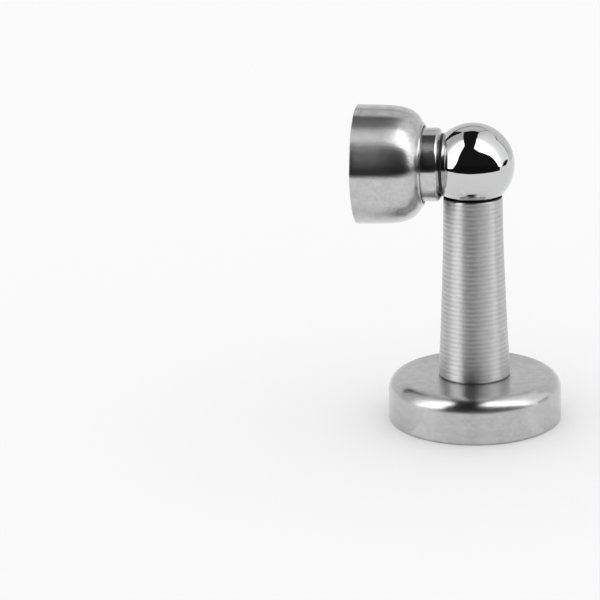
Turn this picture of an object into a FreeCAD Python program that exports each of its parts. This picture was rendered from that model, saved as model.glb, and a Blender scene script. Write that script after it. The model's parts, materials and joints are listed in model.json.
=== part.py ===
import FreeCAD, Part
import math
import os

# Magnetic floor door holder. A tapered post stands on a round cover, a polished ball turns on
# the post, and a bell-shaped magnet head is sprung on the ball's neck collar.
#
# Frame: origin at the centre of the base's underside, +Z up the post. The head points along -X.
# Lengths are millimetres. "z" is the height above the floor. "s" is the distance from the
# ball's centre along the head's axis, towards the magnet face.

V = FreeCAD.Vector

# ---- driving dimensions -----------------------------------------------------------------

# base
BASE_R = 24.0
BASE_H = 12.5
COVER_WALL = 1.2
COVER_EDGE_R = 4.0
COVER_FOOT_R = 0.5
COVER_HOLE_R = 5.2
PLATE_R = 22.3
PLATE_T = 3.0
SCREW_PCD = 31.0
SCREW_COUNT = 3
SCREW_FIRST_ANGLE = 90.0
SCREW_HOLE_R = 2.3
SCREW_SINK_R = 4.4
STUD_R = 4.0
STUD_HEAD_R = 6.5
STUD_HEAD_H = 2.5
STUD_TOP = 25.5
SPACER_R = 8.0

# post: outer radius at even heights from foot to rim
POST_TOP = 63.15
POST_RADII = [9.93, 9.28, 8.75, 8.28, 8.06]
POST_BORE_R = 6.6
POST_EDGE = 0.2
SEAT_BORE_R = 7.35
SEAT_BORE_FLOOR = 60.7
FOOT_INSERT_TOP = 27.0
HEAD_INSERT_FOOT = 50.5

# ball and its swivel bolt
BALL_R = 11.4
BALL_Z = 72.0
BALL_GAP = 0.3
BALL_FLAT_Z = 61.0
SEAT_RING_INNER_R = 5.4
SEAT_RING_OUTER_R = 7.95
BOLT_R = 2.5
BOLT_RUNNING_GAP = 0.06
BOLT_TOP = 70.0
BOLT_HEAD_R = 4.5
BOLT_HEAD_H = 3.5
WASHER_R = 5.8
WASHER_T = 0.95
FACE_GAP = 0.05
SPRING_WASHER_H = 1.3
SPRING_WASHER_T = 0.7

# neck, along s
NECK_FLAT = 7.0
BALL_RING_R = 8.4
BALL_RING_END = 7.6
NECK_WASHER_R = 8.5
NECK_WASHER_END = 8.25
COLLAR_R = 10.0
COLLAR_TIP_R = 8.6
COLLAR_CHAMFER_END = 9.2
COLLAR_EDGE_R = 0.35
COLLAR_FLANGE_R = 11.6
COLLAR_FLANGE_START = 15.65
COLLAR_END = 17.2
COLLAR_FLOOR = 12.0
COLLAR_POCKET_R = 6.2
HEAD_BOLT_R = 3.0
HEAD_BOLT_START = 4.0
HEAD_BOLT_HEAD_R = 4.9
HEAD_BOLT_HEAD_H = 3.4

# buffer spring
THRUST_WASHER_T = 0.8
THRUST_WASHER_INNER_R = 6.5
SPRING_MEAN_R = 9.0
SPRING_WIRE_R = 0.5
SPRING_TURNS = 3.0

# head
SHELL_START = 13.2
SHELL_NECK_R = 10.75
SHELL_LIP_R = 11.4
SHELL_LIP_T = 0.4
SHELL_WALL = 1.2
SHELL_MOUTH = 31.3
SHELL_RIM_R = 16.35
SHELL_RIM_EDGE = 0.25
SHELL_BORE_R = 14.9
SHELL_LAND_R = 11.6
BUSH_GAP = 0.05
BUSH_FLANGE_R = 11.5
BUSH_FLANGE_T = 0.8
HOLDER_BACK = 25.2
HOLDER_FRONT = 28.6
HOLDER_POCKET_FLOOR = 26.5
HOLDER_HOLE_R = 2.0
MAGNET_CUP_R = 11.0
MAGNET_CUP_WALL = 0.9
MAGNET_CUP_FLOOR = 1.1
MAGNET_EDGE = 0.3
MAGNET_FIT = 0.05
SNAP_RING_INNER_R = 13.9
SNAP_RING_OUTER_R = 15.3
SNAP_RING_T = 0.6
SNAP_RING_GAP_DEG = 24.0
BUMPER_RECESS = 0.35
BUMPER_CROWN = 0.35

# ---- shapes -----------------------------------------------------------------------------


def profile_wire(start, *steps):
    """Closed (r, h) outline. A step is a point, or a list of points that a smooth curve passes."""
    edges = []
    here = start
    for step in list(steps) + [start]:
        points = step if isinstance(step, list) else [step]
        if (points[-1][0], points[-1][1]) == (here[0], here[1]):
            continue
        path = [V(r, 0, h) for r, h in [here] + points]
        if len(path) == 2:
            edges.append(Part.LineSegment(path[0], path[1]).toShape())
        elif len(path) == 3:
            edges.append(Part.Arc(path[0], path[1], path[2]).toShape())
        else:
            curve = Part.BSplineCurve()
            curve.interpolate(path)
            edges.append(curve.toShape())
        here = points[-1]
    return Part.Wire(edges)


def turned(start, *steps):
    """Solid of revolution about Z from an (r, h) outline."""
    face = Part.Face(profile_wire(start, *steps))
    return face.revolve(V(0, 0, 0), V(0, 0, 1), 360)


def ring(inner_r, outer_r, low, high):
    """Plain ring or tube about Z."""
    outline = [(inner_r, low), (outer_r, low), (outer_r, high), (inner_r, high)]
    return turned(outline[0], *outline[1:])


def corner_arc(centre_r, centre_h, radius, start_deg, end_deg):
    """Middle and end point of an arc about (centre_r, centre_h)."""
    points = []
    for angle in ((start_deg + end_deg) / 2, end_deg):
        turn = math.radians(angle)
        points.append((centre_r + radius * math.cos(turn), centre_h + radius * math.sin(turn)))
    return points


def hex_prism(across_flats, low, high):
    """Upright hexagonal prism for a socket."""
    radius = across_flats / math.sqrt(3)
    corners = []
    for i in range(7):
        turn = math.radians(60 * i)
        corners.append(V(radius * math.cos(turn), radius * math.sin(turn), low))
    return Part.Face(Part.makePolygon(corners)).extrude(V(0, 0, high - low))


def along_head(shape):
    """Moves a shape made about Z, with z as s, onto the head's axis."""
    placed = shape.copy()
    placed.rotate(V(0, 0, 0), V(0, 1, 0), -90)
    placed.translate(V(0, 0, BALL_Z))
    return placed


def sphere_height(radius, r):
    """Height of the lower half of a sphere about the ball's centre, at distance r from Z."""
    return BALL_Z - math.sqrt(radius**2 - r**2)


# ---- base -------------------------------------------------------------------------------


def floor_plate():
    plate = turned(
        (STUD_HEAD_R, 0),
        (PLATE_R, 0),
        (PLATE_R, PLATE_T),
        (STUD_R, PLATE_T),
        (STUD_R, STUD_HEAD_H),
    )
    sink_depth = SCREW_SINK_R - SCREW_HOLE_R
    for i in range(SCREW_COUNT):
        turn = math.radians(SCREW_FIRST_ANGLE + 360 * i / SCREW_COUNT)
        x = SCREW_PCD / 2 * math.cos(turn)
        y = SCREW_PCD / 2 * math.sin(turn)
        hole = Part.makeCylinder(SCREW_HOLE_R, PLATE_T + 2, V(x, y, -1))
        sink = Part.makeCone(SCREW_HOLE_R, SCREW_SINK_R, sink_depth, V(x, y, PLATE_T - sink_depth))
        plate = plate.cut(hole).cut(sink)
    return plate


def plate_stud():
    chamfer = 0.7
    return turned(
        (0, 0),
        (STUD_HEAD_R, 0),
        (STUD_R, STUD_HEAD_H),
        (STUD_R, STUD_TOP - chamfer),
        (STUD_R - chamfer, STUD_TOP),
        (0, STUD_TOP),
    )


def base_cover():
    inner_r = BASE_R - COVER_WALL
    inner_top = BASE_H - COVER_WALL
    edge_r = BASE_R - COVER_EDGE_R
    edge_h = BASE_H - COVER_EDGE_R
    return turned(
        (inner_r, 0),
        (BASE_R - COVER_FOOT_R, 0),
        corner_arc(BASE_R - COVER_FOOT_R, COVER_FOOT_R, COVER_FOOT_R, -90, 0),
        (BASE_R, edge_h),
        corner_arc(edge_r, edge_h, COVER_EDGE_R, 0, 90),
        (COVER_HOLE_R, BASE_H),
        (COVER_HOLE_R, inner_top),
        (edge_r, inner_top),
        corner_arc(edge_r, edge_h, COVER_EDGE_R - COVER_WALL, 90, 0),
    )


def cover_spacer():
    return ring(STUD_R + 0.4, SPACER_R, PLATE_T, BASE_H - COVER_WALL)


# ---- post -------------------------------------------------------------------------------


def post():
    foot = BASE_H
    low = foot + POST_EDGE
    high = POST_TOP - POST_EDGE
    side = []
    for i, radius in enumerate(POST_RADII):
        side.append((radius, low + (high - low) * i / (len(POST_RADII) - 1)))
    return turned(
        (POST_BORE_R, foot),
        (POST_RADII[0] - POST_EDGE, foot),
        side[0],
        side[1:],
        (POST_RADII[-1] - POST_EDGE, POST_TOP),
        (SEAT_BORE_R, POST_TOP),
        (SEAT_BORE_R, SEAT_BORE_FLOOR),
        (POST_BORE_R, SEAT_BORE_FLOOR),
    )


def post_foot_insert():
    return ring(STUD_R, POST_BORE_R, BASE_H, FOOT_INSERT_TOP)


def post_head_insert():
    return ring(BOLT_R + BOLT_RUNNING_GAP, POST_BORE_R, HEAD_INSERT_FOOT, SEAT_BORE_FLOOR)


def ball_seat_ring():
    bearing_r = BALL_R + BALL_GAP
    outer_h = sphere_height(bearing_r, SEAT_RING_OUTER_R)
    inner_h = sphere_height(bearing_r, SEAT_RING_INNER_R)
    middle_r = (SEAT_RING_INNER_R + SEAT_RING_OUTER_R) / 2
    middle_h = sphere_height(bearing_r, middle_r)
    return turned(
        (SEAT_RING_INNER_R, SEAT_BORE_FLOOR),
        (SEAT_BORE_R, SEAT_BORE_FLOOR),
        (SEAT_BORE_R, POST_TOP),
        (SEAT_RING_OUTER_R, POST_TOP),
        (SEAT_RING_OUTER_R, outer_h),
        [(middle_r, middle_h), (SEAT_RING_INNER_R, inner_h)],
    )


# ---- ball -------------------------------------------------------------------------------


def ball():
    sphere = Part.makeSphere(BALL_R, V(0, 0, BALL_Z))
    slab = 2 * BALL_R
    under = Part.makeBox(slab, slab, slab, V(-BALL_R, -BALL_R, BALL_FLAT_Z - slab))
    beside = Part.makeBox(slab, slab, slab, V(-NECK_FLAT - slab, -BALL_R, BALL_Z - BALL_R))
    swivel_bore = Part.makeCylinder(BOLT_R, BOLT_TOP + 0.5 - BALL_FLAT_Z, V(0, 0, BALL_FLAT_Z))
    head_bore = along_head(
        Part.makeCylinder(HEAD_BOLT_R, NECK_FLAT - HEAD_BOLT_START + 0.5, V(0, 0, HEAD_BOLT_START - 0.5))
    )
    return sphere.cut(under).cut(beside).cut(swivel_bore).cut(head_bore)


def swivel_stack():
    """Heights of the washer and spring washer that hang under the head insert."""
    washer_top = HEAD_INSERT_FOOT - FACE_GAP
    washer_foot = washer_top - WASHER_T
    head_top = washer_foot - SPRING_WASHER_H
    return washer_top, washer_foot, head_top


def swivel_bolt():
    head_top = swivel_stack()[2]
    head_foot = head_top - BOLT_HEAD_H
    chamfer = 0.4
    blank = turned(
        (0, head_foot),
        (BOLT_HEAD_R - chamfer, head_foot),
        (BOLT_HEAD_R, head_foot + chamfer),
        (BOLT_HEAD_R, head_top),
        (BOLT_R, head_top),
        (BOLT_R, BOLT_TOP - chamfer),
        (BOLT_R - chamfer, BOLT_TOP),
        (0, BOLT_TOP),
    )
    return blank.cut(hex_prism(4.0, head_foot - 1, head_foot + 2.2))


def swivel_washer():
    washer_top, washer_foot, _ = swivel_stack()
    return ring(BOLT_R + 0.15, WASHER_R, washer_foot, washer_top)


def swivel_spring_washer():
    _, washer_foot, head_top = swivel_stack()
    inner_r = BOLT_R + 0.2
    outer_r = WASHER_R - 0.6
    return turned(
        (inner_r, head_top),
        (outer_r, washer_foot - SPRING_WASHER_T),
        (outer_r, washer_foot),
        (inner_r, head_top + SPRING_WASHER_T),
    )


# ---- neck -------------------------------------------------------------------------------


def ball_ring():
    edge = 0.15
    blank = turned(
        (HEAD_BOLT_R, NECK_FLAT),
        (BALL_RING_R, NECK_FLAT),
        (BALL_RING_R, BALL_RING_END - edge),
        (BALL_RING_R - edge, BALL_RING_END),
        (HEAD_BOLT_R, BALL_RING_END),
    )
    return along_head(blank)


def neck_washer():
    return along_head(ring(HEAD_BOLT_R + 0.1, NECK_WASHER_R, BALL_RING_END, NECK_WASHER_END))


def neck_collar():
    flange_edge = 0.3
    blank = turned(
        (HEAD_BOLT_R + 0.1, NECK_WASHER_END),
        (COLLAR_TIP_R, NECK_WASHER_END),
        (COLLAR_R - COLLAR_EDGE_R, COLLAR_CHAMFER_END - COLLAR_EDGE_R / 2),
        [(COLLAR_R - COLLAR_EDGE_R * 0.2, COLLAR_CHAMFER_END), (COLLAR_R, COLLAR_CHAMFER_END + COLLAR_EDGE_R)],
        (COLLAR_R, COLLAR_FLANGE_START),
        (COLLAR_FLANGE_R, COLLAR_FLANGE_START),
        (COLLAR_FLANGE_R, COLLAR_END - flange_edge),
        (COLLAR_FLANGE_R - flange_edge, COLLAR_END),
        (COLLAR_POCKET_R, COLLAR_END),
        (COLLAR_POCKET_R, COLLAR_FLOOR),
        (HEAD_BOLT_R + 0.1, COLLAR_FLOOR),
    )
    return along_head(blank)


def head_bolt():
    chamfer = 0.4
    head_end = COLLAR_FLOOR + HEAD_BOLT_HEAD_H
    blank = turned(
        (0, HEAD_BOLT_START),
        (HEAD_BOLT_R - chamfer, HEAD_BOLT_START),
        (HEAD_BOLT_R, HEAD_BOLT_START + chamfer),
        (HEAD_BOLT_R, COLLAR_FLOOR),
        (HEAD_BOLT_HEAD_R, COLLAR_FLOOR),
        (HEAD_BOLT_HEAD_R, head_end - chamfer),
        (HEAD_BOLT_HEAD_R - chamfer, head_end),
        (0, head_end),
    )
    return along_head(blank.cut(hex_prism(5.0, head_end - 2.4, head_end + 1)))


# ---- buffer -----------------------------------------------------------------------------


def spring_start():
    return COLLAR_END + FACE_GAP + THRUST_WASHER_T


def thrust_washer():
    low = COLLAR_END + FACE_GAP
    return along_head(ring(THRUST_WASHER_INNER_R, COLLAR_FLANGE_R, low, spring_start()))


def buffer_spring():
    low = spring_start() + SPRING_WIRE_R
    high = HOLDER_BACK - SPRING_WIRE_R
    pitch = (high - low) / SPRING_TURNS
    path = Part.makeHelix(pitch, high - low, SPRING_MEAN_R)
    circle = Part.makeCircle(SPRING_WIRE_R, V(SPRING_MEAN_R, 0, 0), V(0, 1, 0))
    coil = Part.Wire(path).makePipeShell([Part.Wire(circle)], True, True)
    coil.translate(V(0, 0, low))
    return along_head(Part.Solid(coil) if coil.ShapeType == "Shell" else coil)


# ---- head -------------------------------------------------------------------------------


def head_shell():
    lip_end = SHELL_START + SHELL_LIP_T
    shoulder = [
        (13.0, 14.5),
        (14.65, 16.3),
        (15.6, 18.8),
        (16.05, 22.4),
        (16.15, 26.8),
        (16.25, 29.8),
        (SHELL_RIM_R, SHELL_MOUTH - SHELL_RIM_EDGE),
    ]
    land = lip_end + SHELL_WALL
    snap_low = HOLDER_FRONT
    snap_high = HOLDER_FRONT + SNAP_RING_T
    inside = [(14.65, 20.0), (13.6, 17.4), (SHELL_LAND_R, land)]
    blank = turned(
        (SHELL_NECK_R, SHELL_START),
        (SHELL_LIP_R - 0.1, SHELL_START),
        (SHELL_LIP_R, SHELL_START + 0.1),
        (SHELL_LIP_R, lip_end),
        shoulder,
        (SHELL_RIM_R - SHELL_RIM_EDGE, SHELL_MOUTH),
        (SHELL_BORE_R, SHELL_MOUTH),
        (SHELL_BORE_R, snap_high),
        (SNAP_RING_OUTER_R, snap_high),
        (SNAP_RING_OUTER_R, snap_low),
        (SHELL_BORE_R, snap_low),
        (SHELL_BORE_R, 22.6),
        inside,
        (SHELL_NECK_R, land),
    )
    return along_head(blank)


def guide_bush():
    inner_r = COLLAR_R + BUSH_GAP
    land = SHELL_START + SHELL_LIP_T + SHELL_WALL
    return along_head(
        turned(
            (inner_r, SHELL_START + 0.1),
            (SHELL_NECK_R, SHELL_START + 0.1),
            (SHELL_NECK_R, land),
            (BUSH_FLANGE_R, land),
            (BUSH_FLANGE_R, land + BUSH_FLANGE_T),
            (inner_r, land + BUSH_FLANGE_T),
        )
    )


def magnet_holder():
    outer_r = SHELL_BORE_R - MAGNET_FIT
    pocket_r = MAGNET_CUP_R + MAGNET_FIT
    return along_head(
        turned(
            (HOLDER_HOLE_R, HOLDER_BACK),
            (outer_r, HOLDER_BACK),
            (outer_r, HOLDER_FRONT),
            (pocket_r, HOLDER_FRONT),
            (pocket_r, HOLDER_POCKET_FLOOR),
            (HOLDER_HOLE_R, HOLDER_POCKET_FLOOR),
        )
    )


def magnet_cup():
    inner_r = MAGNET_CUP_R - MAGNET_CUP_WALL
    floor = HOLDER_POCKET_FLOOR + MAGNET_CUP_FLOOR
    return along_head(
        turned(
            (0, HOLDER_POCKET_FLOOR),
            (MAGNET_CUP_R, HOLDER_POCKET_FLOOR),
            (MAGNET_CUP_R, SHELL_MOUTH - MAGNET_EDGE),
            (MAGNET_CUP_R - MAGNET_EDGE, SHELL_MOUTH),
            (inner_r, SHELL_MOUTH),
            (inner_r, floor),
            (0, floor),
        )
    )


def magnet():
    outer_r = MAGNET_CUP_R - MAGNET_CUP_WALL - MAGNET_FIT
    floor = HOLDER_POCKET_FLOOR + MAGNET_CUP_FLOOR
    return along_head(
        turned(
            (0, floor),
            (outer_r, floor),
            (outer_r, SHELL_MOUTH - MAGNET_EDGE),
            (outer_r - MAGNET_EDGE, SHELL_MOUTH),
            (0, SHELL_MOUTH),
        )
    )


def retaining_ring():
    hoop = ring(SNAP_RING_INNER_R, SNAP_RING_OUTER_R, HOLDER_FRONT, HOLDER_FRONT + SNAP_RING_T)
    half_gap = math.radians(SNAP_RING_GAP_DEG / 2)
    reach = SNAP_RING_OUTER_R * 1.2
    corners = [
        V(0, 0, HOLDER_FRONT - 1),
        V(reach * math.cos(half_gap), reach * math.sin(half_gap), HOLDER_FRONT - 1),
        V(reach * math.cos(half_gap), -reach * math.sin(half_gap), HOLDER_FRONT - 1),
        V(0, 0, HOLDER_FRONT - 1),
    ]
    notch = Part.Face(Part.makePolygon(corners)).extrude(V(0, 0, SNAP_RING_T + 2))
    return along_head(hoop.cut(notch))


def bumper_ring():
    inner_r = MAGNET_CUP_R + MAGNET_FIT
    outer_r = SHELL_BORE_R - MAGNET_FIT
    step_r = SNAP_RING_INNER_R - MAGNET_FIT
    step = HOLDER_FRONT + SNAP_RING_T
    crown = SHELL_MOUTH - BUMPER_RECESS
    edge = crown - BUMPER_CROWN
    middle_r = (inner_r + outer_r) / 2
    return along_head(
        turned(
            (inner_r, HOLDER_FRONT),
            (step_r, HOLDER_FRONT),
            (step_r, step),
            (outer_r, step),
            (outer_r, edge),
            [(middle_r, crown), (inner_r, edge)],
        )
    )


PARTS = [
    floor_plate,
    plate_stud,
    base_cover,
    cover_spacer,
    post,
    post_foot_insert,
    post_head_insert,
    ball_seat_ring,
    ball,
    swivel_bolt,
    swivel_washer,
    swivel_spring_washer,
    ball_ring,
    neck_washer,
    neck_collar,
    head_bolt,
    thrust_washer,
    buffer_spring,
    head_shell,
    guide_bush,
    magnet_holder,
    magnet_cup,
    magnet,
    retaining_ring,
    bumper_ring,
]

os.makedirs("parts", exist_ok=True)
for make in PARTS:
    shape = make()
    if not shape.isValid() or shape.Volume <= 0:
        raise RuntimeError(make.__name__ + " is not a valid solid")
    shape.exportStep("parts/" + make.__name__ + ".step")
    print(make.__name__, shape.ShapeType, len(shape.Solids), round(shape.Volume, 1))
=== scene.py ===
import json
import math

import bpy
from mathutils import Matrix, Vector

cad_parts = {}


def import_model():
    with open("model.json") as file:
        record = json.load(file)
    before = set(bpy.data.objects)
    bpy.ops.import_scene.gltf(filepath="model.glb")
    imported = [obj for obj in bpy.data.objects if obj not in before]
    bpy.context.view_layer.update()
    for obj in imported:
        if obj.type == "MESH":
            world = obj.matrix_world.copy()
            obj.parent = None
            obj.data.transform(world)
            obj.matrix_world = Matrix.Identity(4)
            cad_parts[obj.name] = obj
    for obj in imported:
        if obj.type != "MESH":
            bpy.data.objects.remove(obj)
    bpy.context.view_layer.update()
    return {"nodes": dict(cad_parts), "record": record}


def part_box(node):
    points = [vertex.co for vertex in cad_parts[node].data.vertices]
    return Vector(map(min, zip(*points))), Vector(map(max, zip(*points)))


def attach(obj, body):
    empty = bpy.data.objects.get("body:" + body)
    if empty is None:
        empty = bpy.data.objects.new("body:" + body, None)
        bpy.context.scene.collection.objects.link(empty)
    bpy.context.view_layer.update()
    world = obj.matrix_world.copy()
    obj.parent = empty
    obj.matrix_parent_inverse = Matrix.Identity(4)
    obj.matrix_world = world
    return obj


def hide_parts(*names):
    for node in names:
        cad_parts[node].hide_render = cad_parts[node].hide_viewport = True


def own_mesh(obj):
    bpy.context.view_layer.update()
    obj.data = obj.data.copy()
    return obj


# Magnetic floor door holder in satin and polished stainless steel. A ring-turned post stands on
# a drawn round cover, a polished ball turns on the post, and a bell-shaped magnet head slides on
# the collar at the ball's neck.
#
# Outlines are in millimetres. Those about the post are (radius, height, corner rounding). Those
# on the head's axis are made about Z with s, the distance from the ball's centre, as height, and
# are then laid along -X.

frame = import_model()

MM = 0.001
MERGE = 0.001 * MM
ROUND_STEPS = 144
FINE_STEPS = 192
CORNER_STEPS = 5
SMALL_CORNER_STEPS = 3


# ---- places read from the frame -----------------------------------------------------------


def high(node):
    """Highest z of a node in millimetres."""
    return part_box(node)[1].z / MM


def low(node):
    """Lowest z of a node in millimetres."""
    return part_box(node)[0].z / MM


def radius(node):
    """Outer radius of a turned node in millimetres."""
    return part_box(node)[1].y / MM


def near(node):
    """Smallest s of a node on the head's axis in millimetres."""
    return -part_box(node)[1].x / MM


def far(node):
    """Largest s of a node on the head's axis in millimetres."""
    return -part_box(node)[0].x / MM


BALL_R = radius("ball")
BALL_Z = high("ball") - BALL_R
BALL_CENTRE = Vector((0, 0, BALL_Z * MM))
HEAD_AXIS = Matrix.Translation(BALL_CENTRE) @ Matrix.Rotation(math.radians(-90), 4, "Y")


# ---- making meshes ------------------------------------------------------------------------


def add_object(name, data):
    obj = bpy.data.objects.new(name, data)
    bpy.context.scene.collection.objects.link(obj)
    return obj


def add_modifier(obj, kind, **settings):
    modifier = obj.modifiers.new(kind.title(), kind)
    for key, value in settings.items():
        setattr(modifier, key, value)


def turned(name, outline, steps=ROUND_STEPS, corner_steps=CORNER_STEPS, closed=True, flip=False):
    """Piece of revolution about Z. Each corner of the outline is rounded by its own amount.

    flip turns the faces outward where Screw takes a closed outline the other way round.
    """
    mesh = bpy.data.meshes.new(name)
    count = len(outline)
    edges = [(i, (i + 1) % count) for i in range(count if closed else count - 1)]
    mesh.from_pydata([(r * MM, 0, h * MM) for r, h, _ in outline], edges, [])
    obj = add_object(name, mesh)
    widest = max(rounding for _, _, rounding in outline)
    if widest > 0:
        weights = mesh.attributes.new("bevel_weight_vert", "FLOAT", "POINT")
        weights.data.foreach_set("value", [rounding / widest for _, _, rounding in outline])
        add_modifier(
            obj,
            "BEVEL",
            affect="VERTICES",
            limit_method="WEIGHT",
            width=widest * MM,
            segments=corner_steps,
        )
    add_modifier(
        obj,
        "SCREW",
        steps=steps,
        render_steps=steps,
        use_merge_vertices=True,
        merge_threshold=MERGE,
        use_normal_calculate=True,
        use_normal_flip=flip,
        use_smooth_shade=True,
    )
    add_modifier(obj, "WEIGHTED_NORMAL", thresh=0.0)
    return obj


def on_head_axis(obj):
    """Applies a piece's modifiers and lays the result along the head's axis."""
    graph = bpy.context.evaluated_depsgraph_get()
    mesh = bpy.data.meshes.new_from_object(obj.evaluated_get(graph))
    mesh.transform(HEAD_AXIS)
    name = obj.name
    bpy.data.objects.remove(obj)
    return add_object(name, mesh)


def arc(centre_r, centre_h, size, start, end, count):
    """Points of an arc about (centre_r, centre_h), with angles in degrees from the outward side."""
    points = []
    for i in range(count + 1):
        turn = math.radians(start + (end - start) * i / count)
        points.append((centre_r + size * math.cos(turn), centre_h + size * math.sin(turn), 0))
    return points


def between(before, a, b, after, t):
    """Place at t from a to b on the smooth curve that goes through all four."""
    curve = 2 * a + (b - before) * t + (2 * before - 5 * a + 4 * b - after) * t**2
    return (curve + (3 * a - before - 3 * b + after) * t**3) / 2


def smooth_line(points, count):
    """Smooth curve through a few (radius, height) points, with count steps between two."""
    ends = [points[0]] + points + [points[-1]]
    line = []
    for i in range(len(points) - 1):
        corners = [Vector(point) for point in ends[i : i + 4]]
        for k in range(count):
            place = between(*corners, k / count)
            line.append((place.x, place.y, 0))
    line.append((points[-1][0], points[-1][1], 0))
    return line


# ---- making materials ---------------------------------------------------------------------

# ranges in which most of each pattern's tones lie
BRUSH_TONES = (0.35, 0.65)
MOTTLE_TONES = (0.3, 0.7)
BRUSH_RELIEF = 0.5
MOTTLE_RELIEF = 0.4
# quarter of a turn, so that the sheen spreads across the brush lines
ACROSS_BRUSH = 0.25


def linear(hex_colour):
    """sRGB hex string to linear colour with alpha."""
    channels = []
    for i in (0, 2, 4):
        value = int(hex_colour[i : i + 2], 16) / 255
        channels.append(value / 12.92 if value <= 0.04045 else ((value + 0.055) / 1.055) ** 2.4)
    return (*channels, 1)


def new_material(name):
    material = bpy.data.materials.new(name)
    material.use_nodes = True
    material.node_tree.nodes.clear()
    return material


def add_node(tree, kind, settings=None, inputs=None):
    """Adds a node. An input is a value, or an output socket to link."""
    node = tree.nodes.new(kind)
    for key, value in (settings or {}).items():
        setattr(node, key, value)
    for key, value in (inputs or {}).items():
        if isinstance(value, bpy.types.NodeSocket):
            tree.links.new(value, node.inputs[key])
        else:
            node.inputs[key].default_value = value
    return node


def put_on(obj, material):
    obj.data.materials.clear()
    obj.data.materials.append(material)


def place_about_axis(tree, axis):
    """Way out from the axis, distance from it, height along it, and the axis itself."""
    point = add_node(tree, "ShaderNodeTexCoord").outputs["Object"]
    across = (1, 1, 0)
    along = (0, 0, 1)
    if axis == "X":
        centred = {"Vector": point, "Location": -BALL_CENTRE}
        point = add_node(tree, "ShaderNodeMapping", inputs=centred).outputs[0]
        across = (0, 1, 1)
        along = (1, 0, 0)
    flat = add_node(tree, "ShaderNodeVectorMath", {"operation": "MULTIPLY"}, {0: point, 1: across}).outputs[0]
    outward = add_node(tree, "ShaderNodeVectorMath", {"operation": "NORMALIZE"}, {0: flat}).outputs[0]
    distance = add_node(tree, "ShaderNodeVectorMath", {"operation": "LENGTH"}, {0: flat}).outputs["Value"]
    height = add_node(tree, "ShaderNodeVectorMath", {"operation": "DOT_PRODUCT"}, {0: point, 1: along})
    return outward, distance, height.outputs["Value"], along


def ring_tangent(tree, outward, along):
    """World direction round the axis, which the brush followed."""
    around = add_node(tree, "ShaderNodeVectorMath", {"operation": "CROSS_PRODUCT"}, {0: along, 1: outward})
    settings = {"vector_type": "VECTOR", "convert_from": "OBJECT", "convert_to": "WORLD"}
    return add_node(tree, "ShaderNodeVectorTransform", settings, {"Vector": around.outputs[0]}).outputs[0]


def ring_shade_and_sheen(tree, tone, height, crest, pitch, share):
    """Mixes in painted shade and sheen of the turned rings: a tone that is lighter and glossier on the crest
    of each ring and darker and duller in its groove.
    """
    above = add_node(tree, "ShaderNodeMath", {"operation": "SUBTRACT"}, {0: height, 1: crest * MM})
    half_turns = {0: above.outputs[0], 1: math.pi / (pitch * MM)}
    turn = add_node(tree, "ShaderNodeMath", {"operation": "MULTIPLY"}, half_turns)
    wave = add_node(tree, "ShaderNodeMath", {"operation": "COSINE"}, {0: turn.outputs[0]})
    ring = add_node(tree, "ShaderNodeMath", {"operation": "ABSOLUTE"}, {0: wave.outputs[0]})
    parts = {0: share, 2: tone, 3: ring.outputs[0]}
    return add_node(tree, "ShaderNodeMix", {"data_type": "FLOAT"}, parts).outputs[0]


def add_surface(tree, tone, height, colours, roughness, spread, tones, relief, depth_mm, more):
    """Surface that is lighter and glossier where the tone is high, with relief from the height.

    colours are the light one and the dark one, tones is the range that the gloss follows, and
    more is whatever else the surface shader takes.
    """
    light, dark = colours
    parts = {0: tone, 6: linear(dark), 7: linear(light)}
    shade = add_node(tree, "ShaderNodeMix", {"data_type": "RGBA"}, parts)
    dull = roughness + spread
    bright = roughness - spread
    band = {"Value": tone, "From Min": tones[0], "From Max": tones[1], "To Min": dull, "To Max": bright}
    gloss = add_node(tree, "ShaderNodeMapRange", inputs=band)
    bump = {"Height": height, "Strength": relief, "Distance": depth_mm * MM}
    normal = add_node(tree, "ShaderNodeBump", inputs=bump)
    inputs = {"Base Color": shade.outputs[2], "Roughness": gloss.outputs[0], "Normal": normal.outputs[0]}
    surface = add_node(tree, "ShaderNodeBsdfPrincipled", inputs={**inputs, **more})
    add_node(tree, "ShaderNodeOutputMaterial", inputs={"Surface": surface.outputs[0]})


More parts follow.
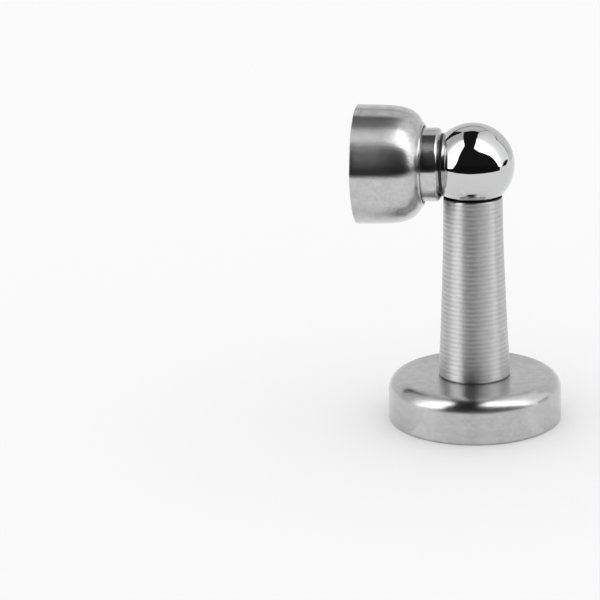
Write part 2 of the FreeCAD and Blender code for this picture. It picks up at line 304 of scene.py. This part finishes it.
def brushed_metal(
    name, axis, colours, roughness, spread, anisotropy, line_mm, depth_mm, streaks, sign=1, rings=None
):
    """Metal brushed or turned round its axis: fine lines in long streaks, with a cloudy sheen.

    line_mm is the distance between brush lines. A larger streaks makes them shorter.
    sign is 1 where the outline's radius and height grow together, and -1 where one falls.
    rings is the (crest, pitch, share) of turned rings, in millimetres along the axis; by that share the
    rings' painted groove shade and crest sheen are mixed into the tone.
    """
    material = new_material(name)
    tree = material.node_tree
    outward, distance, height, along = place_about_axis(tree, axis)

    # way along the outline, across the brush lines
    signed = add_node(tree, "ShaderNodeMath", {"operation": "MULTIPLY"}, {0: height, 1: sign}).outputs[0]
    run = add_node(tree, "ShaderNodeMath", {"operation": "ADD"}, {0: distance, 1: signed}).outputs[0]
    step = add_node(tree, "ShaderNodeMath", {"operation": "DIVIDE"}, {0: run, 1: line_mm * MM}).outputs[0]
    across_lines = add_node(tree, "ShaderNodeVectorMath", {"operation": "SCALE"}, {0: along, "Scale": step})
    way_round = add_node(tree, "ShaderNodeVectorMath", {"operation": "SCALE"}, {0: outward, "Scale": streaks})
    ways = {0: way_round.outputs[0], 1: across_lines.outputs[0]}
    grain = add_node(tree, "ShaderNodeVectorMath", {"operation": "ADD"}, ways).outputs[0]

    fine = {"Vector": grain, "Scale": 1.0, "Detail": 3.0, "Roughness": 0.6}
    lines = add_node(tree, "ShaderNodeTexNoise", inputs=fine).outputs["Fac"]
    broad = {"Vector": grain, "Scale": 0.3, "Detail": 2.0, "Roughness": 0.5}
    cloud = add_node(tree, "ShaderNodeTexNoise", inputs=broad).outputs["Fac"]
    halves = {0: 0.5, 2: lines, 3: cloud}
    tone = add_node(tree, "ShaderNodeMix", {"data_type": "FLOAT"}, halves).outputs[0]
    # painted shade in each ring's groove and painted sheen on its crest
    if rings:
        tone = ring_shade_and_sheen(tree, tone, height, *rings)
    more = {
        "Metallic": 1.0,
        "Anisotropic": anisotropy,
        "Anisotropic Rotation": ACROSS_BRUSH,
        "Tangent": ring_tangent(tree, outward, along),
    }
    add_surface(tree, tone, lines, colours, roughness, spread, BRUSH_TONES, BRUSH_RELIEF, depth_mm, more)
    return material


def mottled(name, colours, metallic, roughness, spread, grain_mm, depth_mm):
    """Plain surface with a fine grain: plated metal, polish, nylon or rubber."""
    material = new_material(name)
    tree = material.node_tree
    place = add_node(tree, "ShaderNodeTexCoord").outputs["Object"]
    fine = {"Vector": place, "Scale": 1 / (grain_mm * MM), "Detail": 4.0, "Roughness": 0.6}
    grain = add_node(tree, "ShaderNodeTexNoise", inputs=fine).outputs["Fac"]
    more = {"Metallic": metallic}
    add_surface(tree, grain, grain, colours, roughness, spread, MOTTLE_TONES, MOTTLE_RELIEF, depth_mm, more)
    return material


# ---- the finishes -------------------------------------------------------------------------

# Real brush and lathe lines are finer than 0.1 mm. Here they are drawn 0.3 to 0.8 mm apart, and
# the grain of the plain surfaces 0.25 mm or more, which is as coarse as they need to be to show.
COVER_LINE_MM = 0.6
SHELL_LINE_MM = 0.8
POST_LINE_MM = 0.3
COLLAR_LINE_MM = 0.6


def satin_cover_steel():
    """Stainless steel brushed round on a belt: a soft sheen that runs across the brush lines."""
    return brushed_metal(
        "satin_stainless_cover",
        "Z",
        ("D6D6D6", "A8A8A8"),
        roughness=0.23,
        spread=0.015,
        anisotropy=0.85,
        line_mm=COVER_LINE_MM,
        depth_mm=0.025,
        streaks=20.0,
        sign=-1,
    )


def satin_shell_steel():
    """Stainless steel brushed round: a broad sheen with a short, cloudy grain."""
    return brushed_metal(
        "satin_stainless_shell",
        "X",
        ("E4E4E4", "9C9C9C"),
        roughness=0.25,
        spread=0.015,
        anisotropy=0.95,
        line_mm=SHELL_LINE_MM,
        depth_mm=0.05,
        streaks=22.0,
        sign=-1,
    )


def turned_post_steel():
    """Stainless steel straight from the lathe: bright streaks up the post, broken by each ring, with painted
    shade in each ring's groove and painted sheen on its crest.
    """
    return brushed_metal(
        "turned_stainless_post",
        "Z",
        ("DADADA", "ACACAC"),
        roughness=0.42,
        spread=0.05,
        anisotropy=0.93,
        line_mm=POST_LINE_MM,
        depth_mm=0.003,
        streaks=10.0,
        sign=-1,
        rings=post_rings(),
    )


def bright_collar_steel():
    """Stainless steel turned with a fine feed: sharp light and dark zones with a broken edge."""
    return brushed_metal(
        "bright_turned_stainless",
        "X",
        ("E0E0E0", "A8A8A8"),
        roughness=0.2,
        spread=0.02,
        anisotropy=0.85,
        line_mm=COLLAR_LINE_MM,
        depth_mm=0.02,
        streaks=14.0,
    )


def mirror_chrome():
    """Steel buffed and chromed: a mirror with a faint orange peel."""
    return mottled("mirror_chrome", ("CFCFD0", "CBCBCC"), 1.0, 0.035, 0.01, grain_mm=4.0, depth_mm=0.004)


def zinc_plate():
    """Bright zinc on mild steel: grey with a cloudy crystal look."""
    return mottled("bright_zinc_plate", ("B9BCC0", "A2A5A9"), 1.0, 0.36, 0.08, grain_mm=0.8, depth_mm=0.01)


def oiled_spring_steel():
    """Oil-hardened spring wire: dark and half-bright."""
    colours = ("6E6C69", "55534F")
    return mottled("oiled_spring_steel", colours, 1.0, 0.3, 0.06, grain_mm=0.4, depth_mm=0.006)


def moulded_nylon():
    """Moulded nylon 66: black with a faint mould sheen."""
    colours = ("17181A", "0F1011")
    return mottled("moulded_black_nylon", colours, 0.0, 0.42, 0.06, grain_mm=0.25, depth_mm=0.01)


def moulded_rubber():
    """Moulded nitrile rubber: duller and softer black."""
    colours = ("1E1E1F", "151515")
    return mottled("moulded_nitrile_rubber", colours, 0.0, 0.68, 0.08, grain_mm=0.5, depth_mm=0.03)


def nickel_plate():
    """Nickel on iron and neodymium: warm bright grey."""
    colours = ("C9C3B9", "BAB4A9")
    return mottled("bright_nickel_plate", colours, 1.0, 0.2, 0.05, grain_mm=0.5, depth_mm=0.0008)


# ---- base ---------------------------------------------------------------------------------

COVER_WALL = 1.2
COVER_EDGE_R = 4.0
COVER_FOOT_R = 0.5
COVER_FOOT_INSIDE = 0.3
COVER_HOLE_R = 5.2
COVER_HOLE_EDGE = 0.15
COVER_EDGE_POINTS = 18
COVER_INSIDE_POINTS = 10


def base_cover():
    """Drawn cover: flat top, large edge radius, upright wall and a small rolled foot."""
    outer_r = radius("base_cover")
    top = high("base_cover")
    inner_r = outer_r - COVER_WALL
    ceiling = top - COVER_WALL
    edge_r = outer_r - COVER_EDGE_R
    edge_h = top - COVER_EDGE_R
    outline = [(COVER_HOLE_R, top, COVER_HOLE_EDGE), (edge_r / 2, top, 0)]
    outline += arc(edge_r, edge_h, COVER_EDGE_R, 90, 0, COVER_EDGE_POINTS)
    outline += [(outer_r, 0, COVER_FOOT_R), (inner_r, 0, COVER_FOOT_INSIDE)]
    outline += arc(edge_r, edge_h, COVER_EDGE_R - COVER_WALL, 0, 90, COVER_INSIDE_POINTS)
    outline += [(COVER_HOLE_R, ceiling, COVER_HOLE_EDGE)]
    return turned("cover", outline, FINE_STEPS)


# ---- post ---------------------------------------------------------------------------------

# radii of the post at even steps from its foot to its rim
POST_RADII = [9.93, 9.28, 8.75, 8.28, 8.06]
POST_FOOT_R = POST_RADII[0]
POST_RIM_R = POST_RADII[-1]
POST_BORE_R = 6.6
POST_EDGE = 0.2
POST_SEAM = 0.4
SEAT_BORE_R = 7.35
RING_PITCH = 1.3
RING_DEPTH = 0.05
POINTS_PER_RING = 5
# share of the painted groove shade and crest sheen in the post's tone
RING_SHADE_SHARE = 0.27
SHARP_EDGE = 0.1


def post_radius(share):
    """Outer radius of the post at a share of its height."""
    last = len(POST_RADII) - 1
    step = share * last
    i = min(int(step), last - 1)
    before = POST_RADII[max(i - 1, 0)]
    after = POST_RADII[min(i + 2, last)]
    return between(before, POST_RADII[i], POST_RADII[i + 1], after, step - i)


def post_side():
    """Length of the post's ringed side, and how many rings it has."""
    side = high("post") - low("post") - POST_EDGE - POST_SEAM
    return side, round(side / RING_PITCH)


def post_rings():
    """Crest of the lowest ring, pitch of the rings and how strongly their painted groove shade and crest
    sheen show in the metal's tone.
    """
    side, rings = post_side()
    return low("post") + POST_SEAM, side / rings, RING_SHADE_SHARE


def post():
    """Tapered tube with the rings that a coarse lathe feed leaves."""
    foot = low("post")
    rim = high("post")
    seat_floor = low("ball_seat_ring")
    seam_top = foot + POST_SEAM
    seam_r = POST_FOOT_R - POST_SEAM
    side, rings = post_side()
    count = rings * POINTS_PER_RING
    outline = [(SEAT_BORE_R, rim, SHARP_EDGE), (POST_RIM_R - POST_EDGE, rim, 0)]
    for i in range(count + 1):
        share = 1 - i / count
        crest = abs(math.cos(math.pi * i / POINTS_PER_RING))
        outline.append((post_radius(share) - RING_DEPTH * (1 - crest), seam_top + side * share, 0))
    outline += [(seam_r, seam_top, 0), (seam_r, foot, 0), (POST_BORE_R, foot, SHARP_EDGE)]
    outline += [(POST_BORE_R, seat_floor, 0), (SEAT_BORE_R, seat_floor, 0)]
    return turned("post_tube", outline, flip=True)


SEAT_INNER_R = 5.4
SEAT_RIM_EDGE = 0.05
SEAT_CLEARANCE = 0.3
SEAT_POINTS = 6


def seat_ring():
    """Black ring on the post's rim, hollowed to the ball."""
    foot = low("ball_seat_ring")
    outer_r = radius("ball_seat_ring")
    rim = high("post")
    bearing_r = BALL_R + SEAT_CLEARANCE
    start = -math.degrees(math.acos(SEAT_INNER_R / bearing_r))
    end = -math.degrees(math.acos(outer_r / bearing_r))
    outline = arc(0, BALL_Z, bearing_r, start, end, SEAT_POINTS)
    outline += [(outer_r, rim, SEAT_RIM_EDGE), (SEAT_BORE_R, rim, 0)]
    outline += [(SEAT_BORE_R, foot, SHARP_EDGE), (SEAT_INNER_R, foot, SHARP_EDGE)]
    return turned("seat_ring", outline, flip=True)


# ---- ball and neck ------------------------------------------------------------------------

BALL_POINTS = 90
NECK_RING_BORE_R = 3.05
NECK_RING_EDGE = 0.12
NECK_SHIM_BORE_R = 3.1
NECK_SHIM_EDGE = 0.08
COLLAR_TIP_R = 8.6
COLLAR_TIP_EDGE = 0.12
COLLAR_SIDE_R = 10.0
COLLAR_SHOULDER = 0.5
COLLAR_CHAMFER = 0.75
COLLAR_FLANGE_T = 1.55
COLLAR_FLANGE_EDGE = 0.3
COLLAR_BORE_R = 3.1
COLLAR_WELL_R = 6.2
COLLAR_WELL_FLOOR = 12.0


def ball():
    """Polished ball with a flat under it."""
    foot = low("ball")
    flat = math.degrees(math.asin((foot - BALL_Z) / BALL_R))
    outline = arc(0, BALL_Z, BALL_R, 90, flat, BALL_POINTS)
    outline[0] = (0, high("ball"), 0)
    outline += [(0, foot, 0)]
    return turned("polished_ball", outline, FINE_STEPS, closed=False)


def plain_ring(name, node, inner_r, edge):
    """Ring on the head's axis that fills its node's length and radius."""
    start = near(node)
    end = far(node)
    outer_r = radius(node)
    outline = [(inner_r, end, edge), (outer_r, end, edge), (outer_r, start, edge), (inner_r, start, edge)]
    return on_head_axis(turned(name, outline, corner_steps=SMALL_CORNER_STEPS))


def neck_ring():
    """Thin polished ring beside the ball."""
    return plain_ring("polished_neck_ring", "ball_ring", NECK_RING_BORE_R, NECK_RING_EDGE)


def neck_shim():
    """Black washer between the polished ring and the collar."""
    return plain_ring("neck_shim", "neck_washer", NECK_SHIM_BORE_R, NECK_SHIM_EDGE)


def neck_collar():
    """Turned collar with a chamfer towards the ball, a flange in the head and a well for its bolt."""
    start = near("neck_collar")
    end = far("neck_collar")
    flange_r = radius("neck_collar")
    flange = end - COLLAR_FLANGE_T
    outline = [(COLLAR_WELL_R, end, SHARP_EDGE), (flange_r, end, COLLAR_FLANGE_EDGE)]
    outline += [(flange_r, flange, SHARP_EDGE), (COLLAR_SIDE_R, flange, SHARP_EDGE)]
    outline += [(COLLAR_SIDE_R, start + COLLAR_CHAMFER, COLLAR_SHOULDER)]
    outline += [(COLLAR_TIP_R, start, COLLAR_TIP_EDGE), (COLLAR_BORE_R, start, SHARP_EDGE)]
    outline += [(COLLAR_BORE_R, COLLAR_WELL_FLOOR, SHARP_EDGE)]
    outline += [(COLLAR_WELL_R, COLLAR_WELL_FLOOR, SHARP_EDGE)]
    return on_head_axis(turned("collar", outline))


# ---- head ---------------------------------------------------------------------------------

SHELL_LIP_R = 11.4
SHELL_LIP_T = 0.4
SHELL_LIP_EDGE = 0.12
SHELL_NECK_R = 10.75
SHELL_BORE_R = 14.9
SHELL_RIM_EDGE = 0.2
# outside of the bell between its lip and its rim, as (radius, s)
SHELL_BELL = [(13.0, 14.5), (14.65, 16.3), (15.6, 18.8), (16.1, 22.4), (16.22, 26.8), (16.27, 29.8)]
SHELL_RIM_START = 31.05
BELL_POINTS = 8
SHELL_INSIDE = [(11.6, 14.8, 0.1), (13.4, 16.2, 0.4), (SHELL_BORE_R, 20.0, 1.0)]


def head_shell():
    """Bell-shaped cup, from its neck hole to its mouth."""
    start = near("head_shell")
    mouth = far("head_shell")
    rim_r = radius("head_shell")
    bell = [(SHELL_LIP_R, start + SHELL_LIP_T)] + SHELL_BELL + [(rim_r, SHELL_RIM_START)]
    inside_h = SHELL_INSIDE[0][1]
    outline = [(SHELL_BORE_R, mouth, SHELL_RIM_EDGE), (rim_r, mouth, SHELL_RIM_EDGE)]
    outline += smooth_line(bell, BELL_POINTS)[::-1]
    outline += [(SHELL_LIP_R, start, SHELL_LIP_EDGE), (SHELL_NECK_R, start, SHELL_LIP_EDGE)]
    outline += [(SHELL_NECK_R, inside_h, SHARP_EDGE)] + SHELL_INSIDE
    return on_head_axis(turned("bell_shell", outline, FINE_STEPS))


BUSH_BORE_R = 10.05
BUSH_FLANGE_T = 0.8
BUSH_FLANGE_EDGE = 0.15
BUSH_LIP_EDGE = 0.08


def guide_bush():
    """Nylon bush in the shell's neck hole, with its flange inside."""
    start = near("guide_bush")
    end = far("guide_bush")
    outer_r = radius("guide_bush")
    step = end - BUSH_FLANGE_T
    outline = [(BUSH_BORE_R, end, SHARP_EDGE), (outer_r, end, BUSH_FLANGE_EDGE)]
    outline += [(outer_r, step, SHARP_EDGE), (SHELL_NECK_R, step, 0)]
    outline += [(SHELL_NECK_R, start, BUSH_LIP_EDGE), (BUSH_BORE_R, start, BUSH_LIP_EDGE)]
    return on_head_axis(turned("neck_bush", outline, corner_steps=SMALL_CORNER_STEPS))


BUMPER_INNER_R = 11.05
BUMPER_EDGE = 0.3
BUMPER_EDGE_DROP = 0.35
BUMPER_FACE_DROP = 0.05
BUMPER_CROWN_R = 0.2
GROOVE_OFFSET = 0.7
GROOVE_HALF_W = 0.22
GROOVE_DEPTH = 0.25
GROOVE_FLOOR_R = 0.08


def bumper_groove(centre, face):
    """One moulded groove in the bumper's face."""
    sides = (centre - GROOVE_HALF_W, face, SHARP_EDGE), (centre + GROOVE_HALF_W, face, SHARP_EDGE)
    return [sides[0], (centre, face - GROOVE_DEPTH, GROOVE_FLOOR_R), sides[1]]


def bumper_ring():
    """Rubber ring in the mouth, crowned, with two moulded grooves."""
    back = near("bumper_ring")
    crown = far("bumper_ring")
    outer_r = radius("bumper_ring")
    edge = crown - BUMPER_EDGE_DROP
    face = crown - BUMPER_FACE_DROP
    middle = (BUMPER_INNER_R + outer_r) / 2
    outline = [(BUMPER_INNER_R, edge, BUMPER_EDGE)]
    outline += bumper_groove(middle - GROOVE_OFFSET, face)
    outline += [(middle, crown, BUMPER_CROWN_R)]
    outline += bumper_groove(middle + GROOVE_OFFSET, face)
    outline += [(outer_r, edge, BUMPER_EDGE), (outer_r, back, SHARP_EDGE), (BUMPER_INNER_R, back, SHARP_EDGE)]
    return on_head_axis(turned("bumper", outline, corner_steps=SMALL_CORNER_STEPS))


CUP_WALL = 0.9
CUP_FLOOR = 1.1
CUP_BACK_R = 0.6
CUP_LIP_R = 0.35
CUP_INNER_EDGE = 0.2


def magnet_cup():
    """Drawn iron cup round the magnet, with a rounded lip."""
    back = near("magnet_cup")
    lip = far("magnet_cup")
    outer_r = radius("magnet_cup")
    inner_r = outer_r - CUP_WALL
    floor_s = back + CUP_FLOOR
    outline = [(0, floor_s, 0), (inner_r, floor_s, CUP_INNER_EDGE), (inner_r, lip, CUP_INNER_EDGE)]
    outline += [(outer_r, lip, CUP_LIP_R), (outer_r, back, CUP_BACK_R), (0, back, 0)]
    return on_head_axis(turned("pot", outline, closed=False))


MAGNET_FACE_EDGE = 0.3
MAGNET_BACK_EDGE = 0.2


def magnet():
    """Nickel-plated disc with a broken edge, which lies level with the pot's lip."""
    back = near("magnet")
    face = far("magnet")
    outer_r = radius("magnet")
    outline = [(0, face, 0), (outer_r, face, MAGNET_FACE_EDGE)]
    outline += [(outer_r, back, MAGNET_BACK_EDGE), (0, back, 0)]
    return on_head_axis(turned("magnet_disc", outline, closed=False))


WIRE_R = 0.5
SPRING_TURNS = 3.0
COIL_POINTS = 36


def buffer_spring():
    """Coil spring of round wire between the thrust washer and the magnet's holder."""
    start = near("buffer_spring") + WIRE_R
    end = far("buffer_spring") - WIRE_R
    coil_r = radius("buffer_spring") - WIRE_R
    curve = bpy.data.curves.new("coil_spring", "CURVE")
    curve.dimensions = "3D"
    curve.bevel_depth = WIRE_R * MM
    curve.bevel_resolution = 3
    curve.use_fill_caps = True
    line = curve.splines.new("POLY")
    count = round(SPRING_TURNS * COIL_POINTS)
    line.points.add(count)
    for i, point in enumerate(line.points):
        turn = 2 * math.pi * i / COIL_POINTS
        s = start + (end - start) * i / count
        point.co = (coil_r * math.cos(turn) * MM, coil_r * math.sin(turn) * MM, s * MM, 1)
    coil = add_object("coil_spring", curve)
    add_modifier(coil, "WELD", merge_threshold=MERGE)
    return on_head_axis(coil)


# ---- stage --------------------------------------------------------------------------------

# Panels are (bearing, lower edge, upper edge, level), with the first three in degrees as seen
# from the ball. Bearing 0 is straight in front of the object and 90 is to its right. Levels
# change from row to row, so that no panel shows a hard edge in the metal where it fades.
PANEL_DISTANCE = 1.1
FLAG_DISTANCE = 1.0
LEFT_SOFTBOX = [
    (-36, 50, 60, 2.5),
    (-38, 20, 62, 2.5),
    (-42, 8, 64, 2.5),
    (-50, -2, 67, 2.6),
    (-62, -3, 69, 2.6),
    (-74, -3, 71, 1.9),
    (-85, -3, 71, 0.9),
    (-96, -3, 71, 0.65),
    (-105, -3, 71, 0.6),
    (-118, 26, 69, 0.6),
    (-135, 55, 65, 0.6),
    (-150, 56, 57, 0.6),
]
RIGHT_SOFTBOX = [
    (14, 56, 58, 2.4),
    (30, 46, 71, 2.5),
    (45, 39, 76, 2.8),
    (60, 30, 79, 3.2),
    (70, 18, 80, 3.2),
    (80, -1, 80, 2.4),
    (92, -4, 80, 1.3),
    (105, -4, 80, 1.1),
    (128, -4, 77, 1.0),
]
RIGHT_RETURN = [(128, 37, 77, 1.0), (140, 37, 75, 0.9), (150, 37, 71, 0.8), (158, 37, 64, 0.7)]
BACK_SCREEN = [(129, -10, 34, 0.78), (180, -10, 34, 0.76), (225, -10, 31, 0.78), (255, -10, 14, 0.78)]
BACK_BAND = [(159, 37, 62, 0.7), (180, 37, 62, 0.7), (200, 37, 62, 0.7), (215, 37, 58, 0.7)]
RIGHT_FLAG = [
    (88, -11, -7, 0.01),
    (96, -9, 0, 0.01),
    (106, -5, 9, 0.01),
    (118, 0, 20, 0.01),
    (130, 9, 30, 0.01),
]
# The apron is (bearing, distance, height), in metres from the post.
APRON = [
    (-66, 0.42, 0.045),
    (-50, 0.40, 0.06),
    (-40, 0.36, 0.11),
    (-20, 0.33, 0.12),
    (20, 0.325, 0.12),
    (45, 0.35, 0.12),
    (66, 0.37, 0.10),
    (84, 0.40, 0.05),
]
APRON_FOOT = 0.001
APRON_LEVEL = 0.008
# Cards on the floor round the base are painted shade: they stand for the floor's contact shade as the
# metal sees it. They are (first bearing, last bearing, level), and lie between two distances from
# the post in metres.
FLOOR_SHADE_CARDS = [(-44, 60, 0.83), (-196, -112, 0.78)]
FLOOR_SHADE_REACH = (0.0245, 0.055)
FLOOR_SHADE_LIFT = 0.0005
FLOOR_SHADE_STEPS = 8
FLOOR_LEVEL = 0.96
FLOOR_HALF = 4.0
FLOOR_PAINT = (0.8, 0.8, 0.8, 1)
WHITE = (1, 1, 1, 1)
WORLD_FOR_FLOOR = 1.2
WORLD_IN_METAL = 0.012
WORLD_IN_VIEW = 1.0
CAMERA_SENSOR = 36.0
CAMERA_LENS = 114.0
CAMERA_NEAREST = 0.01
CAMERA_DISTANCE = 0.5052
CAMERA_HEIGHT = 0.1845
CAMERA_BEARING = 5.65
CAMERA_TURN = 11.10
CAMERA_DOWN = 16.49
CAMERA_ROLL = -2.07


def toward(bearing, height, distance):
    """Point at a bearing, height angle and distance from the ball's centre."""
    turn = math.radians(bearing)
    lift = math.radians(height)
    level = math.cos(lift)
    way = Vector((math.sin(turn) * level, -math.cos(turn) * level, math.sin(lift)))
    return BALL_CENTRE + way * distance


def card_light():
    """Light that each card gives by its own level, which fades from point to point."""
    material = new_material("card_light")
    tree = material.node_tree
    level = add_node(tree, "ShaderNodeAttribute", {"attribute_name": "level"}).outputs["Fac"]
    glow = add_node(tree, "ShaderNodeEmission", inputs={"Color": WHITE, "Strength": level})
    add_node(tree, "ShaderNodeOutputMaterial", inputs={"Surface": glow.outputs[0]})
    return material


def strip(name, feet, tops, foot_levels, top_levels):
    """Card between two rows of points, which only shows in the metal."""
    count = len(feet)
    faces = [(i, i + 1, count + i + 1, count + i) for i in range(count - 1)]
    mesh = bpy.data.meshes.new(name)
    mesh.from_pydata(feet + tops, [], faces)
    levels = mesh.attributes.new("level", "FLOAT", "POINT")
    levels.data.foreach_set("value", foot_levels + top_levels)
    obj = add_object(name, mesh)
    put_on(obj, bpy.data.materials.get("card_light") or card_light())
    obj.visible_camera = False
    obj.visible_diffuse = False
    obj.visible_shadow = False


def panel(name, edges, distance=PANEL_DISTANCE):
    """Panel round the object, between its lower and upper edges."""
    feet = [toward(bearing, lower, distance) for bearing, lower, _, _ in edges]
    tops = [toward(bearing, upper, distance) for bearing, _, upper, _ in edges]
    levels = [level for _, _, _, level in edges]
    strip(name, feet, tops, levels, levels)


def dark_apron():
    """Black screen in front of the object, down to the floor."""
    feet = []
    tops = []
    for bearing, distance, height in APRON:
        foot = toward(bearing, 0, distance)
        feet.append((foot.x, foot.y, APRON_FOOT))
        tops.append((foot.x, foot.y, height))
    levels = [APRON_LEVEL] * len(APRON)
    strip("dark_apron", feet, tops, levels, levels)


def painted_floor_shade():
    """Painted floor shade: grey cards round the base that stand for the floor's contact shade, seen only in
    the metal, where they show in the cover's upright wall and fade into the floor.
    """
    for first, last, level in FLOOR_SHADE_CARDS:
        bearings = [first + (last - first) * i / FLOOR_SHADE_STEPS for i in range(FLOOR_SHADE_STEPS + 1)]
        rows = []
        for distance in FLOOR_SHADE_REACH:
            places = [toward(bearing, 0, distance) for bearing in bearings]
            rows.append([(place.x, place.y, FLOOR_SHADE_LIFT) for place in places])
        near_levels = [FLOOR_LEVEL] + [level] * (FLOOR_SHADE_STEPS - 1) + [FLOOR_LEVEL]
        far_levels = [FLOOR_LEVEL] * (FLOOR_SHADE_STEPS + 1)
        strip("floor_shade_card", rows[0], rows[1], near_levels, far_levels)


def floor():
    """Pale floor, clear when seen from below."""
    half = FLOOR_HALF
    corners = [(-half, -half, 0), (half, -half, 0), (half, half, 0), (-half, half, 0)]
    mesh = bpy.data.meshes.new("floor")
    mesh.from_pydata(corners, [], [(0, 1, 2, 3)])
    obj = add_object("floor", mesh)
    material = new_material("pale_floor")
    tree = material.node_tree
    paint = add_node(tree, "ShaderNodeBsdfDiffuse", inputs={"Color": FLOOR_PAINT})
    clear = add_node(tree, "ShaderNodeBsdfTransparent")
    side = add_node(tree, "ShaderNodeNewGeometry").outputs["Backfacing"]
    mixed = add_node(tree, "ShaderNodeMixShader", inputs={0: side, 1: paint.outputs[0], 2: clear.outputs[0]})
    add_node(tree, "ShaderNodeOutputMaterial", inputs={"Surface": mixed.outputs[0]})
    put_on(obj, material)


def world():
    """White where the camera sees it, even for the floor, and nearly black in the metal."""
    made = bpy.data.worlds.new("studio")
    bpy.context.scene.world = made
    made.use_nodes = True
    tree = made.node_tree
    tree.nodes.clear()
    path = add_node(tree, "ShaderNodeLightPath")
    inputs = {0: path.outputs["Is Glossy Ray"], 2: WORLD_FOR_FLOOR, 3: WORLD_IN_METAL}
    level = add_node(tree, "ShaderNodeMix", {"data_type": "FLOAT"}, inputs)
    inputs = {0: path.outputs["Is Camera Ray"], 2: level.outputs[0], 3: WORLD_IN_VIEW}
    seen = add_node(tree, "ShaderNodeMix", {"data_type": "FLOAT"}, inputs)
    background = add_node(tree, "ShaderNodeBackground", inputs={"Color": WHITE, "Strength": seen.outputs[0]})
    add_node(tree, "ShaderNodeOutputWorld", inputs={"Surface": background.outputs[0]})


def camera():
    data = bpy.data.cameras.new("camera")
    data.sensor_width = CAMERA_SENSOR
    data.lens = CAMERA_LENS
    data.clip_start = CAMERA_NEAREST
    obj = add_object("camera", data)
    bearing = math.radians(CAMERA_BEARING)
    across = CAMERA_DISTANCE * math.sin(bearing)
    back = -CAMERA_DISTANCE * math.cos(bearing)
    obj.location = (across, back, CAMERA_HEIGHT)
    turn = Matrix.Rotation(math.radians(CAMERA_TURN), 4, "Z")
    tilt = Matrix.Rotation(math.radians(90 - CAMERA_DOWN), 4, "X")
    roll = Matrix.Rotation(math.radians(CAMERA_ROLL), 4, "Z")
    obj.rotation_mode = "QUATERNION"
    obj.rotation_quaternion = (turn @ tilt @ roll).to_quaternion()
    bpy.context.scene.camera = obj


def stage():
    floor()
    panel("left_softbox", LEFT_SOFTBOX)
    panel("right_softbox", RIGHT_SOFTBOX)
    panel("right_return", RIGHT_RETURN)
    panel("back_screen", BACK_SCREEN)
    panel("back_band", BACK_BAND)
    panel("right_flag", RIGHT_FLAG, FLAG_DISTANCE)
    dark_apron()
    # painted shade of the floor round the base, seen only in the metal
    painted_floor_shade()
    world()
    camera()
    bpy.context.scene.view_settings.view_transform = "Standard"


# ---- the whole ----------------------------------------------------------------------------


def finish_piece(obj, body, material, node):
    put_on(obj, material)
    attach(obj, body)
    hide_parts(node)


def finish_hidden_parts(finishes):
    """Gives the CAD nodes that keep their mesh the finish of their slot."""
    for part in frame["record"]["subparts"]:
        node = frame["nodes"][part["node"]]
        if part["material_slot"] in finishes and not node.hide_render:
            for place in node.material_slots:
                place.material = finishes[part["material_slot"]]


def build():
    chrome = mirror_chrome()
    finishes = {
        "plated_steel": zinc_plate(),
        "spring_steel": oiled_spring_steel(),
        "black_nylon": moulded_nylon(),
        "black_rubber": moulded_rubber(),
        "nickel_plate": nickel_plate(),
    }
    nylon = finishes["black_nylon"]
    nickel = finishes["nickel_plate"]
    finish_piece(base_cover(), "stand", satin_cover_steel(), "base_cover")
    finish_piece(post(), "stand", turned_post_steel(), "post")
    finish_piece(ball(), "ball_joint", chrome, "ball")
    finish_piece(neck_collar(), "ball_joint", bright_collar_steel(), "neck_collar")
    finish_piece(head_shell(), "head", satin_shell_steel(), "head_shell")
    finish_piece(seat_ring(), "stand", nylon, "ball_seat_ring")
    finish_piece(neck_ring(), "ball_joint", chrome, "ball_ring")
    finish_piece(neck_shim(), "ball_joint", nylon, "neck_washer")
    spring = buffer_spring()
    finish_piece(spring, "spring_seat", finishes["spring_steel"], "buffer_spring")
    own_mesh(spring)
    finish_piece(guide_bush(), "head", nylon, "guide_bush")
    finish_piece(bumper_ring(), "head", finishes["black_rubber"], "bumper_ring")
    finish_piece(magnet_cup(), "head", nickel, "magnet_cup")
    finish_piece(magnet(), "head", nickel, "magnet")
    finish_hidden_parts(finishes)


build()
stage()
